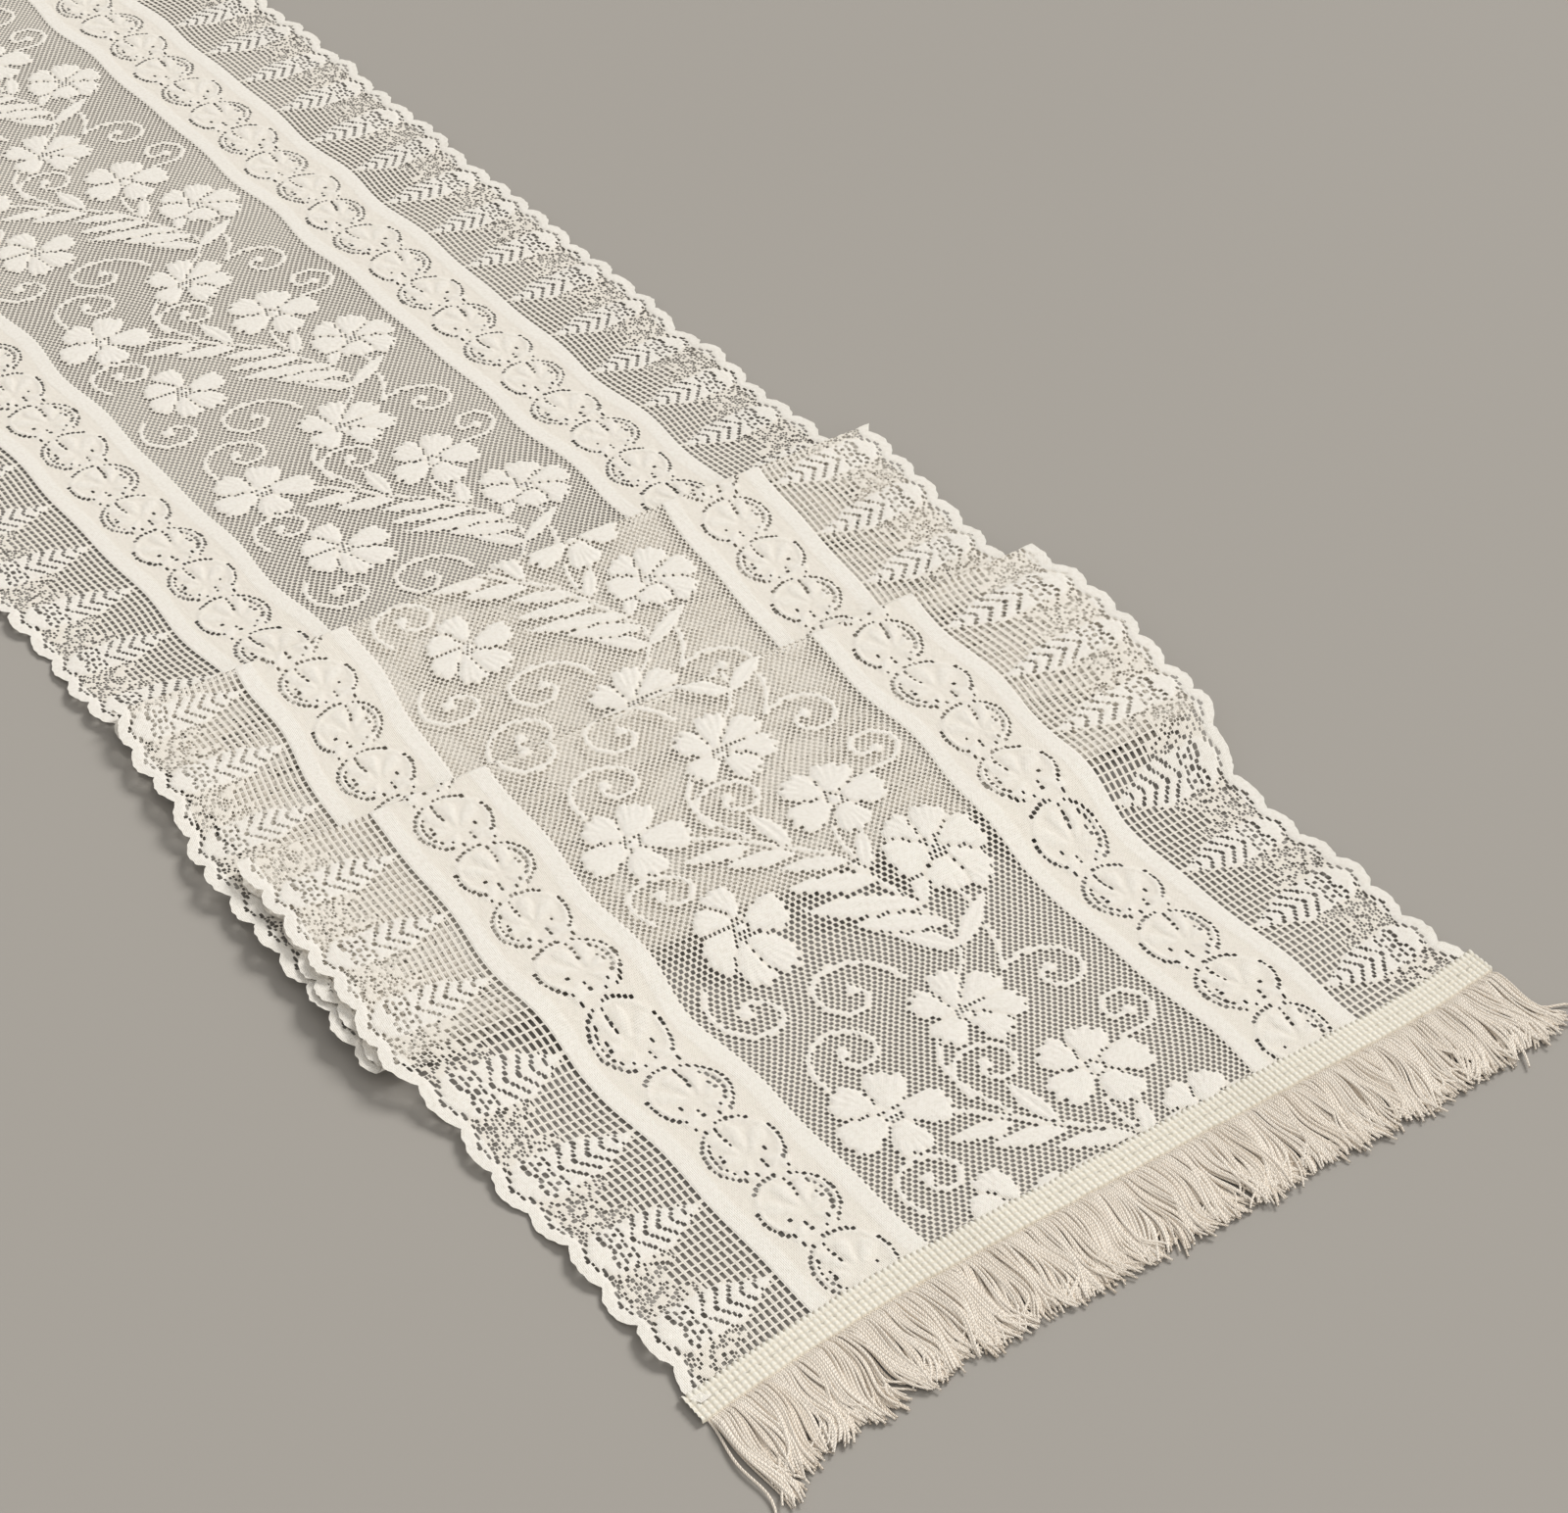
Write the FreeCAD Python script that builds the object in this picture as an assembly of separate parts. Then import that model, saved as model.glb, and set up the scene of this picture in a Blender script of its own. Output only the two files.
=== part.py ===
"""A lace table runner lying on a table, one end folded back and forth on itself.

Frame: +X along the runner towards its folded end, +Y across it, +Z up.
Origin: the middle of the footprint, on the table. Millimetres.

The runner is one knitted lace panel with a fringe trim sewn across each end. From the far
end the panel lies flat on the table, turns back at a lower crease, turns forward again, and
so on: four creases, five layers. The fifth layer runs down off the stack to the table.
"""
import FreeCAD
import Part
import math
import os

V = FreeCAD.Vector

# Driving dimensions
flat_length = 1830.0          # whole runner laid out flat, fringes included
lace_width = 330.0            # scallop tip to scallop tip
lace_thickness = 1.0
layer_gap = 1.0               # air between two layers of the stack
scallop_pitch = 17.0
scallop_rise = 1.6

trim_length = 50.0            # from the top of the heading braid to the fringe tips
braid_width = 10.0
braid_thickness = 1.6
braid_overlap = 6.0           # how far the braid covers the lace
skirt_thickness = 3.0
skirt_tip_thickness = 1.2
skirt_flare = 3.0             # how far the skirt spreads past the braid on each side

second_and_third_length = 223.0
fourth_length = 116.0
top_plan_length = 281.0       # from the top fold to the lace end, seen from above
slope_length = 28.0           # where the top layer runs down to the table

stack_shift = 8.0             # sideways shift of the middle leaf at its fold
top_shift = 8.0               # sideways shift of the top leaf at its fold
lower_crease_shift = -8.0     # the same at the hidden crease between them
end_shift = -5.0              # the same at the near end of the lace
end_tilt = 6.0                # how far the -Y corner of the near end runs ahead

stitch_pitch = 5.0
stitch_length = 2.6
stitch_diameter = 0.5

# Worked out from the driving dimensions
layer_step = lace_thickness + layer_gap
layer_bottom = [k * layer_step for k in range(5)]
trim_past_lace = trim_length - braid_overlap
lace_length = flat_length - 2 * trim_past_lace
crease_arc = math.pi * (lace_thickness + layer_gap) / 2
slope_path = math.hypot(slope_length, layer_bottom[4])
folded_path = (2 * second_and_third_length + fourth_length + 4 * crease_arc
               + top_plan_length + slope_path - slope_length)
first_length = lace_length - folded_path
crease_to_end = top_plan_length - fourth_length
footprint = trim_past_lace + first_length + crease_to_end + trim_past_lace + end_tilt

x_far_lace = -footprint / 2 + trim_past_lace
x_lower_crease = x_far_lace + first_length
x_first_fold = x_lower_crease - second_and_third_length
x_top_fold = x_lower_crease - fourth_length
x_slope_top = x_lower_crease + layer_step
x_slope_foot = x_slope_top + slope_length
x_near_lace = x_top_fold + top_plan_length


def line(a, b):
    return Part.LineSegment(a, b).toShape()


def scalloped_edge(a, b, z):
    """A long edge from a to b whose scallops bulge to the left of that direction."""
    run = V(b[0] - a[0], b[1] - a[1], 0)
    count = max(1, round(run.Length / scallop_pitch))
    out = V(-run.y, run.x, 0).normalize() * scallop_rise
    tips = [V(a[0], a[1], z) + run * (k / count) for k in range(count + 1)]
    return [Part.Arc(p, (p + q) * 0.5 + out, q).toShape() for p, q in zip(tips, tips[1:])]


def lace_layer(x0, shift0, x1, shift1, z, tilt=0.0):
    """A flat layer from x0 to x1; tilt skews its x1 end, forward on the -Y side."""
    half = lace_width / 2 - scallop_rise
    far_right, far_left = (x0, shift0 - half), (x0, shift0 + half)
    skew = tilt * half / (lace_width / 2)
    near_right, near_left = (x1 + skew, shift1 - half), (x1 - skew, shift1 + half)
    edges = scalloped_edge(near_right, far_right, z)
    edges.append(line(V(*far_right, z), V(*far_left, z)))
    edges += scalloped_edge(far_left, near_left, z)
    edges.append(line(V(*near_left, z), V(*near_right, z)))
    face = Part.Face(Part.Wire(Part.__sortEdges__(edges)))
    return face.extrude(V(0, 0, lace_thickness))


def crease(x, shift, lower, towards):
    """The turn of the cloth from layer `lower` to the one above; towards is +1 or -1 along X."""
    half = lace_width / 2 - scallop_rise
    outer, inner = layer_gap / 2 + lace_thickness, layer_gap / 2
    middle = V(x, shift - half, layer_bottom[lower] + outer)
    up, side = V(0, 0, 1), V(towards, 0, 0)
    edges = [
        Part.Arc(middle - up * outer, middle + side * outer, middle + up * outer).toShape(),
        line(middle + up * outer, middle + up * inner),
        Part.Arc(middle + up * inner, middle + side * inner, middle - up * inner).toShape(),
        line(middle - up * inner, middle - up * outer),
    ]
    return Part.Face(Part.Wire(edges)).extrude(V(0, 2 * half, 0))


def slope():
    """The top layer on its way down from the stack to the table."""
    half = lace_width / 2 - scallop_rise
    top, foot = layer_bottom[4], 0.0
    profile = [V(x_slope_top, -half, top), V(x_slope_top, -half, top + lace_thickness),
               V(x_slope_foot, -half, foot + lace_thickness), V(x_slope_foot, -half, foot)]
    return Part.Face(Part.makePolygon(profile + profile[:1])).extrude(V(0, 2 * half, 0))


def lace_nodes():
    return {
        "lace_layer_1_table": lace_layer(x_far_lace, 0, x_lower_crease, 0, layer_bottom[0]),
        "lace_crease_1": crease(x_lower_crease, 0, 0, 1),
        "lace_layer_2": lace_layer(x_first_fold, stack_shift, x_lower_crease, 0, layer_bottom[1]),
        "lace_crease_2_fold": crease(x_first_fold, stack_shift, 1, -1),
        "lace_layer_3": lace_layer(x_first_fold, stack_shift, x_lower_crease,
                                   lower_crease_shift, layer_bottom[2]),
        "lace_crease_3": crease(x_lower_crease, lower_crease_shift, 2, 1),
        "lace_layer_4": lace_layer(x_top_fold, top_shift, x_lower_crease,
                                   lower_crease_shift, layer_bottom[3]),
        "lace_crease_4_fold": crease(x_top_fold, top_shift, 3, -1),
        "lace_layer_5_on_stack": lace_layer(x_top_fold, top_shift, x_slope_top, 0, layer_bottom[4]),
        "lace_layer_5_slope": slope(),
        "lace_layer_5_table": lace_layer(x_slope_foot, 0, x_near_lace, end_shift, 0, end_tilt),
    }


def trim_prism(profile, tilt, flare=0.0):
    """Loft an X-Z profile across the lace end at x = 0; tilt skews it and flare widens its tips."""
    half = lace_width / 2

    def wire(side):
        points = [V(x - side * tilt, side * (half + flare * x / trim_past_lace), z) for x, z in profile]
        return Part.makePolygon(points + points[:1])

    return Part.makeLoft([wire(-1), wire(1)], True, True)


def trim_nodes(end, x_lace, direction, shift, tilt):
    """Heading braid, yarn skirt and sewing thread of one end of the runner."""
    braid_bottom = lace_thickness
    braid_top = braid_bottom + braid_thickness
    braid_end = braid_width - braid_overlap
    braid = trim_prism([(-braid_overlap, braid_bottom), (braid_end, braid_bottom),
                        (braid_end, braid_top), (-braid_overlap, braid_top)], tilt)
    skirt = trim_prism([(0, 0), (trim_past_lace, 0), (trim_past_lace, skirt_tip_thickness),
                        (2 * braid_width, skirt_thickness), (braid_end, braid_top),
                        (braid_end, braid_bottom), (0, braid_bottom)], tilt, skirt_flare)
    count = int(lace_width / stitch_pitch) - 1
    stitches = []
    for k in range(count):
        y = (k - (count - 1) / 2) * stitch_pitch
        x = -braid_overlap / 2 - y / (lace_width / 2) * tilt
        stitch = Part.makeCylinder(stitch_diameter / 2, stitch_length,
                                   V(x, y - stitch_length / 2, braid_top + stitch_diameter / 2), V(0, 1, 0))
        stitches.append(stitch)
    nodes = {"heading_braid": braid, "fringe_skirt": skirt, "sewing_thread": Part.makeCompound(stitches)}
    placed = {}
    for name, shape in nodes.items():
        if direction < 0:
            shape = shape.mirror(V(0, 0, 0), V(1, 0, 0))
        shape.translate(V(x_lace, shift, 0))
        placed[end + "_" + name] = shape
    return placed


def write(nodes):
    os.makedirs("parts", exist_ok=True)
    for name, shape in nodes.items():
        shape.exportStep("parts/" + name + ".step")
        print("%-26s solids %3d  volume %9.0f  box %s"
              % (name, len(shape.Solids), shape.Volume, shape.BoundBox))


nodes = lace_nodes()
nodes.update(trim_nodes("near", x_near_lace, 1, end_shift, end_tilt))
nodes.update(trim_nodes("far", x_far_lace, -1, 0.0, 0.0))
write(nodes)
print("footprint", footprint, "first layer", first_length, "creases at", x_lower_crease,
      "first fold", x_first_fold, "top fold", x_top_fold, "near lace end", x_near_lace)
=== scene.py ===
"""The looks of a lace table runner lying on a table with one end folded back and forth.

The lace is knitted from a chart, as a lace machine does it. A chart cell is a hole or solid
knit, and has a height and a tone. The chart is laid out along the folded cloth's path.
Chart sizes are millimetres of relaxed cloth: `along` the runner and `across` it.
"""
import math

import bpy
import numpy as np
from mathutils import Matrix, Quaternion, Vector


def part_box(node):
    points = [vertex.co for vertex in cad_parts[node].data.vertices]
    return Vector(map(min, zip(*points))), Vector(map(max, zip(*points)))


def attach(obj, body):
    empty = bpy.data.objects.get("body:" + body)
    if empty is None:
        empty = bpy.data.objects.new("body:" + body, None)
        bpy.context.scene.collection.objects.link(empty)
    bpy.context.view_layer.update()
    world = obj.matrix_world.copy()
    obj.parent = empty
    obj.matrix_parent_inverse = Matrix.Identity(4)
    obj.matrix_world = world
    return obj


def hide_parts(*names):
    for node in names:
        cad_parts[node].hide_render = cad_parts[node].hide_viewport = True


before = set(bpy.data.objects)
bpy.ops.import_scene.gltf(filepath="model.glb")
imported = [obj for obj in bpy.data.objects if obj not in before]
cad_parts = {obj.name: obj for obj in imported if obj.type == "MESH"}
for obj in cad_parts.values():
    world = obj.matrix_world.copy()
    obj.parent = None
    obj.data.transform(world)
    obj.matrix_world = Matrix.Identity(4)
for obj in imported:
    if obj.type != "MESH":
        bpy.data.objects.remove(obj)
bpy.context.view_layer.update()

MM = 0.001
SEED = 7

# The knitted chart
REPEAT = 136.0              # one floral repeat along the runner
CHART_LENGTH = 2 * REPEAT   # the medallions lean left and right by turns, five to a repeat
COURSES = 352               # cells along one chart
WALES = 520                 # cells across the runner
HALF_WIDTH = 165.0
CELL_ALONG = CHART_LENGTH / COURSES
CELL_ACROSS = 2 * HALF_WIDTH / WALES
BAND_INNER = 68.0           # the dense band runs between these distances from the middle
BAND_OUTER = 114.0
PLAIN_STRIP = 7.0           # the band's plain edges
NET_OUTER = 135.0           # the open net of the border ends here
LADDER_OUTER = 142.0        # and a little further out midway between ferns
RIM_START = 158.0           # the close-knit rim lies outside this
SPECKLE_SHARE = 0.36        # how many of the cells between the ferns are open
FERN_PITCH = REPEAT / 4
FERN_PHASE = 28.5
SCALLOP_PITCH = REPEAT / 8
SCALLOP_DEPTH = 3.4
MEDALLION_PITCH = REPEAT / 5
MEDALLION_PHASE = 25.0
END_PHASE = 119.8           # where in a repeat the near end is cut

# Relaxed cloth in each stretch of the folded runner; as it lies, it is pulled or eased a little
KNIT_LAYER_1 = 885.3
KNIT_LAYER_2 = 234.1
KNIT_LAYER_3 = 208.4
KNIT_LAYER_4 = 121.3
KNIT_ON_STACK = 111.2
KNIT_SLOPE = 38.0
KNIT_LAST = 105.2

# How far a hole's corners are drawn outwards, in cells
NET_STRETCH = 0.21
SQUARE_STRETCH = 0.07
DOT_STRETCH = 0.24
# Share of that in the hidden leaves. Their holes are narrower than the real net's, only so that
# the stack shows through the top leaf as plain cream.
HIDDEN_OPENNESS = -0.5

# The flowered middle's raised work
STEM_HALF_WIDTH = 0.8
SCROLL_HALF_WIDTH = 0.85
BULB_RADIUS = 2.2           # at the heart of a scroll
HEART_RADIUS = 2.4          # at the middle of a flower
MIDRIB_HALF_WIDTH = 0.55
PETAL_RIBS = 34             # fine ribs in a full turn round a flower

# Heights, in millimetres
REST_HEIGHT = 0.75          # the knit's middle above whatever it lies on
PETAL_HEIGHT = 0.5
FOLD_LIFT = 1.4             # how much the cloth springs up at a visible fold
FOLD_LIFT_REACH = 14.0

# The trims
BRAID_WIDTH = 10.8
BRAID_OVERLAP = 6.0         # how far the braid covers the lace
BRAID_RIB = 2.3
BRAID_ROWS = 5
YARN_LENGTH = 33.0          # from the braid's lower edge to the tips, before it varies
YARN_PITCH = 0.85
YARN_RADIUS = 0.43
YARN_LAYERS = 5
STITCH_PITCH = 5.0
STITCH_LENGTH = 2.6
THREAD_RADIUS = 0.22

STACK_STRETCH = 0.035       # how much wider the cloth lies where it is folded on itself


def mm_box(node):
    """The low and high corners of a CAD node's box, in millimetres."""
    low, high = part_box(node)
    return np.array(low) / MM, np.array(high) / MM


BRAID_LOW, BRAID_HIGH = mm_box("near_heading_braid")
X_FAR_LACE = mm_box("lace_layer_1_table")[0][0]
X_CREASE = mm_box("lace_layer_1_table")[1][0]
X_FOLD_1 = mm_box("lace_layer_3")[0][0] + 2.5
X_FOLD_2 = mm_box("lace_layer_5_on_stack")[0][0] + 3.5
X_SLOPE_TOP = mm_box("lace_layer_5_slope")[0][0]
X_SLOPE_FOOT = mm_box("lace_layer_5_slope")[1][0]
X_NEAR_LACE = 0.5 * (BRAID_LOW[0] + BRAID_HIGH[0]) + 2.5
LAYER_STEP = mm_box("lace_layer_2")[0][2] - mm_box("lace_layer_1_table")[0][2]
BRAID_BOTTOM = BRAID_LOW[2]


# ---------------------------------------------------------------- small number helpers

def smooth(x):
    x = np.clip(x, 0, 1)
    return x * x * (3 - 2 * x)


def waves(x, lengths, seed):
    """A smooth wandering line between about -1 and 1."""
    random = np.random.default_rng(seed)
    total = sum(np.sin(2 * np.pi * x / length + random.uniform(0, 2 * np.pi)) for length in lengths)
    return total / len(lengths)


def wrapped(along, start, period):
    """Signed distance along the runner to the nearest copy of start."""
    return (along - start + period / 2) % period - period / 2


def swelling(depth, reach):
    """Rises from 0 at a shape's edge towards 1 well inside it."""
    return 1 - np.exp(-np.clip(depth, 0, None) / reach)


# ---------------------------------------------------------------- floral motifs

def petal(along, across, heart, reach, width, period=REPEAT):
    """How deep each point is inside a petal that grows from heart by reach = (across, along)."""
    length = math.hypot(*reach)
    out_across, out_along = reach[0] / length, reach[1] / length
    da, dw = wrapped(along, heart[1], period), across - heart[0]
    t = (dw * out_across + da * out_along) / length
    side = dw * out_along - da * out_across
    lobed = 0.95 + 0.05 * np.cos(6 * np.pi * side / width)
    x = np.clip(t / lobed, 0, 1)
    half = 0.66 * width * x ** 0.72 * np.sqrt(1 - x ** 6)
    return np.where((t > 0) & (t < lobed), half - np.abs(side), -2.0)


def leaf(along, across, base, tip, width):
    """How deep each point is inside a pointed leaf, and how far it is from the midrib."""
    reach = (tip[0] - base[0], tip[1] - base[1])
    length = math.hypot(*reach)
    da, dw = wrapped(along, base[1], REPEAT), across - base[0]
    t = (dw * reach[0] + da * reach[1]) / length ** 2
    side = (dw * reach[1] - da * reach[0]) / length
    x = np.clip(t, 0, 1)
    half = 0.5 * width * np.sin(np.pi * x ** 0.8) ** 0.8
    return np.where((t > 0) & (t < 1), half - np.abs(side), -2.0), np.abs(side)


def cord_depth(along, across, points, half_width):
    """How deep each point is inside a raised cord that follows points (across, along)."""
    nearest = np.full(along.shape, 1e3)
    for (w0, a0), (w1, a1) in zip(points, points[1:]):
        dw, da = across - w0, wrapped(along, a0, REPEAT)
        step_w, step_a = w1 - w0, a1 - a0
        t = np.clip((dw * step_w + da * step_a) / (step_w ** 2 + step_a ** 2 + 1e-9), 0, 1)
        nearest = np.minimum(nearest, np.hypot(dw - t * step_w, da - t * step_a))
    return half_width - nearest


def scroll(middle, outer, start_angle, sweep, inner=3.2, steps=40):
    """Points of a spiral from its open end to the bulb at its heart; angles in degrees."""
    points = []
    for k in range(steps + 1):
        t = k / steps
        angle = math.radians(start_angle + sweep * t)
        radius = outer + (inner - outer) * t ** 0.7
        across = middle[0] + radius * math.cos(angle)
        along = middle[1] + 0.86 * radius * math.sin(angle)
        points.append((across, along))
    return points


# Flowers: heart (across, along), petals as (across, along) reaches, petal width
FLOWERS = [
    ((-34, 118), [(-2, -19), (-15, -9), (-17, 7), (-4, 19), (11, 17), (20, -2)], 12.5),
    ((45, 120), [(-9, -17), (9, -17), (20, -1), (12, 15), (-5, 14), (-18, -2)], 13.5),
    ((6.8, 43), [(-12, -15), (5.5, -21), (20.5, -11), (22, 5), (8, 15), (-15, 6.5)], 12.5),
    ((-43, 66), [(-11.5, -17), (10.5, -17), (21, 5), (-1.7, 18), (-21, 3)], 14.5),
    ((26, 84), [(-10, -17), (10, -17), (20.5, 2), (1.7, 18), (-20, 4)], 14.5),
]

# Leaves: base, tip, width
LEAVES = [
    ((26, 17), (8, 0), 7.5),
    ((26, 17), (50, 2), 6.5),
    ((-12, 88.5), (-34, 84), 6.5),
    ((0, 99.5), (-25, 92), 7.2),
    ((16, 112), (-9, 103), 6.5),
    ((20, 121), (-10, 113), 6.5),
    ((27, 133), (-10, 121), 7.5),
    ((29, 142), (2, 131), 7.0),
    ((0, 95), (-2.5, 74), 7.5),
    ((20, 117), (27, 102), 6.0),
    ((28, 134), (36, 121), 6.0),
]

# Scrolls: middle, outer radius, start angle, angle that they sweep
SCROLLS = [
    ((-50, 8), 17.0, -118, -390),
    ((-20, 17), 21.0, 8, -420),
    ((-36, 38), 19.0, 150, 430),
    ((45, 43), 18.0, -140, 400),
    ((-1, 66), 17.0, 150, 440),
    ((52, 67), 15.0, 125, -420),
    ((-47, 94), 17.0, 140, 430),
]

# Stems: points they pass through
STEMS = [
    [(-26, 73), (-18, 80), (-9, 88), (0, 97), (9, 104), (18, 117), (25, 132), (29, 145), (27, 153)],
    [(26, 17), (22, 23), (18, 27)],
    [(38, 8), (40, 17), (37, 25), (32, 32)],
    [(-9, 48), (-14, 55), (-16, 63), (-14, 72), (-9, 84)],
    [(18, 96), (17, 104), (19, 114)],
    [(40, 130), (43, 138), (41, 144)],
]


def cells():
    """Middles of the chart's cells: along, across, and their row and column numbers."""
    row, column = np.meshgrid(np.arange(COURSES), np.arange(WALES), indexing="ij")
    return (row + 0.5) * CELL_ALONG, (column + 0.5) * CELL_ACROSS - HALF_WIDTH, row, column


def dots(along, across, points, period, radius=0.62):
    """True in the cells that a round eyelet at any of the points (across, along) covers."""
    hit = np.zeros(along.shape, bool)
    for w0, a0 in points:
        far = np.hypot((across - w0) / CELL_ACROSS, wrapped(along, a0, period) / CELL_ALONG)
        hit |= far < radius
    return hit


def draw(inside, depth, gap=1.2):
    """Draws a shape over what is there, with a narrow gap of ground left round it."""
    around = (depth <= 0) & (depth > -gap) & (inside > 0)
    return np.where(depth > 0, depth, np.where(around, -0.5, inside)), around


def cords(along, across):
    """How deep each cell is inside the stems and the scrolls."""
    inside = np.full(along.shape, -2.0)
    for path in STEMS:
        inside = np.maximum(inside, cord_depth(along, across, path, STEM_HALF_WIDTH))
    for middle, outer, start, sweep in SCROLLS:
        path = scroll(middle, outer, start, sweep)
        bulb = [path[-1], path[-1]]
        inside = np.maximum(inside, cord_depth(along, across, path, SCROLL_HALF_WIDTH))
        inside = np.maximum(inside, cord_depth(along, across, bulb, BULB_RADIUS))
    return inside


def add_leaves(along, across, inside, gaps):
    """Draws the leaves over the cords, each with a sunken midrib."""
    for base, tip, width in LEAVES:
        depth, side = leaf(along, across, base, tip, width)
        inside, around = draw(inside, depth)
        gaps = (gaps & (depth <= 0)) | around
        inside = np.where((depth > 0) & (side < MIDRIB_HALF_WIDTH), 0.05, inside)
    return inside, gaps


def add_flowers(along, across, inside, gaps):
    """Draws the flowers over the leaves, and gives the fine ribs of their petals."""
    ribs = np.zeros(along.shape)
    for heart, reaches, width in FLOWERS:
        bearing = np.arctan2(wrapped(along, heart[1], REPEAT), across - heart[0])
        for reach in reaches:
            depth = petal(along, across, heart, reach, width)
            inside, around = draw(inside, depth)
            gaps = (gaps & (depth <= 0)) | around
            ribs = np.where(depth > 0, np.cos(PETAL_RIBS * bearing), ribs)
        inside, around = draw(inside, cord_depth(along, across, [heart, heart], HEART_RADIUS))
        gaps = gaps | around
    return inside, gaps, ribs


def field_chart(along, across, row, column):
    """The flowered middle: net, eyelets, the depth inside the raised work, and petal ribs."""
    inside = cords(along, across)
    gaps = np.zeros(along.shape, bool)
    inside, gaps = add_leaves(along, across, inside, gaps)
    inside, gaps, ribs = add_flowers(along, across, inside, gaps)
    net = (row % 2 == 0) & ((column + 2 * ((row // 2) % 2)) % 4 < 2)
    net = net & (inside < -0.1) & ~gaps
    dotted = gaps & (row % 2 == 0) & ((column + row // 2) % 3 == 0)
    return net, dotted, inside, ribs


def fern_shape(along, out):
    """Depth inside the fern leaves of the border; out is the distance from the middle."""
    beside = np.abs(wrapped(along, FERN_PHASE, FERN_PITCH))
    half = np.clip(0.45 * (out - BAND_OUTER - 1.5), 0, 7.6)
    half = np.where(out > 147, np.sqrt(np.clip(8.2 ** 2 - (out - 151) ** 2, 0, None)), half)
    return half - beside


def fern_eyelets():
    """Eyelets of one fern, (out, along), its tip towards the band."""
    points = []
    for k in range(5):
        for step in (0.5, 1.9, 3.3, 4.7, 6.1, 7.3):
            out = 122.5 + 5.2 * k - 0.8 * step
            if step < 0.45 * (out - BAND_OUTER - 1.5) - 0.4 and out < 146:
                points += [(out, FERN_PHASE - step), (out, FERN_PHASE + step)]
    for middle, radius, count in ((4.2, 1.4, 3), (-4.2, 1.4, 3), (4.2, 3.9, 10), (-4.2, 3.9, 10)):
        for k in range(count):
            angle = 2 * math.pi * (k + 0.5) / count
            beside = middle + radius * math.sin(angle)
            points.append((148.6 + radius * math.cos(angle), FERN_PHASE + beside))
    return points


def rim_eyelets():
    """The dotted wavy line just inside the scallops, (out, along)."""
    points = []
    for k in range(11):
        along = k * SCALLOP_PITCH / 11
        wave = math.cos(2 * math.pi * along / SCALLOP_PITCH)
        points.append((158.6 + 1.5 * wave + 0.5 * (-1) ** k, FERN_PHASE + along))
    return points


def border_chart(along, across, row):
    """The net, ferns, rosettes, speckles and rim outside the dense band."""
    out = np.abs(across)
    step = np.floor(out / CELL_ACROSS).astype(int)
    net = (step % 4 < 2) & (row % 4 < 3)
    between = np.abs(wrapped(along, FERN_PHASE + FERN_PITCH / 2, FERN_PITCH))
    ladder = (out < NET_OUTER) | ((out < LADDER_OUTER) & (between < 4.2))
    fern = fern_shape(along, out)
    squares = net & ladder & (fern < -0.3) & (out < RIM_START - 2)
    random = np.random.default_rng(SEED)
    speckle = (random.random(along.shape) < SPECKLE_SHARE) & ((row + (step // 3) % 2) % 2 == 0)
    loose = (out > NET_OUTER) & (out < RIM_START) & ~ladder & (fern < -0.4)
    dotted = speckle & loose
    dotted |= dots(along, out, fern_eyelets(), FERN_PITCH, 0.8) & (fern > 0)
    dotted |= dots(along, out, rim_eyelets(), SCALLOP_PITCH, 0.7)
    return squares, dotted, fern


# A medallion, in places (towards its double arc, along): arcs of eyelets as radius, first and
# last angle; single eyelets; and its leaf's lobes as root, reach and width
MEDALLION_ARCS = [(13.6, -62, 60), (11.0, -36, 40), (13.6, 132, 196), (13.8, -128, -84)]
MEDALLION_DOTS = [
    (3.2, -10.4), (3.3, -8.0), (3.0, -5.6), (2.6, -3.2), (8.3, -1.0), (8.6, 1.6),
    (-6.2, 3.6), (-2.6, 7.2), (-2.4, 9.6), (-8.2, 13.2), (5.0, 8.8), (2.6, 11.2),
]
MEDALLION_LOBES = [
    ((-1, 3), (-9.5, -8), 6.5), ((0, 2), (-1.5, -12.5), 6.0), ((2, 3), (5.5, -12), 5.5),
    ((2, 4), (8, -3.5), 5.0), ((1, 5), (6.5, 5.5), 5.0), ((-3, 6), (-7, 6.5), 6.0),
]


def medallion_eyelets(lean):
    """Eyelets of one medallion round its middle, (outward, along); lean is +1 or -1."""
    points = [(lean * u, v) for u, v in MEDALLION_DOTS]
    for radius, first, last in MEDALLION_ARCS:
        count = int(math.radians(last - first) * radius / 2.1)
        for k in range(count + 1):
            angle = math.radians(first + (last - first) * k / count)
            points.append((lean * radius * math.cos(angle), radius * 0.95 * math.sin(angle)))
    return points


def band_chart(along, across):
    """Eyelets and relief of the dense band, with its leaning medallions."""
    out = np.abs(across) - (BAND_INNER + BAND_OUTER) / 2
    holes = np.zeros(along.shape, bool)
    relief = np.zeros(along.shape)
    for k in range(round(CHART_LENGTH / MEDALLION_PITCH)):
        lean = 1 if k % 2 else -1
        start = MEDALLION_PHASE + k * MEDALLION_PITCH
        points = [(w, start + a) for w, a in medallion_eyelets(lean)]
        holes |= dots(along, out, points, CHART_LENGTH, 0.75)
        radius = np.hypot(out, wrapped(along, start, CHART_LENGTH) / 0.95)
        relief = np.maximum(relief, 0.8 * np.exp(-((radius - 12.3) / 1.0) ** 2))
        for (u, v), (du, dv), width in MEDALLION_LOBES:
            lobe = petal(along, out, (lean * u, start + v), (lean * du, dv), width, CHART_LENGTH)
            relief = np.maximum(relief, swelling(lobe, 0.8))
    middle = np.abs(out) < (BAND_OUTER - BAND_INNER) / 2 - PLAIN_STRIP
    return holes & middle, np.where(middle, relief, 0.0), middle


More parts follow.
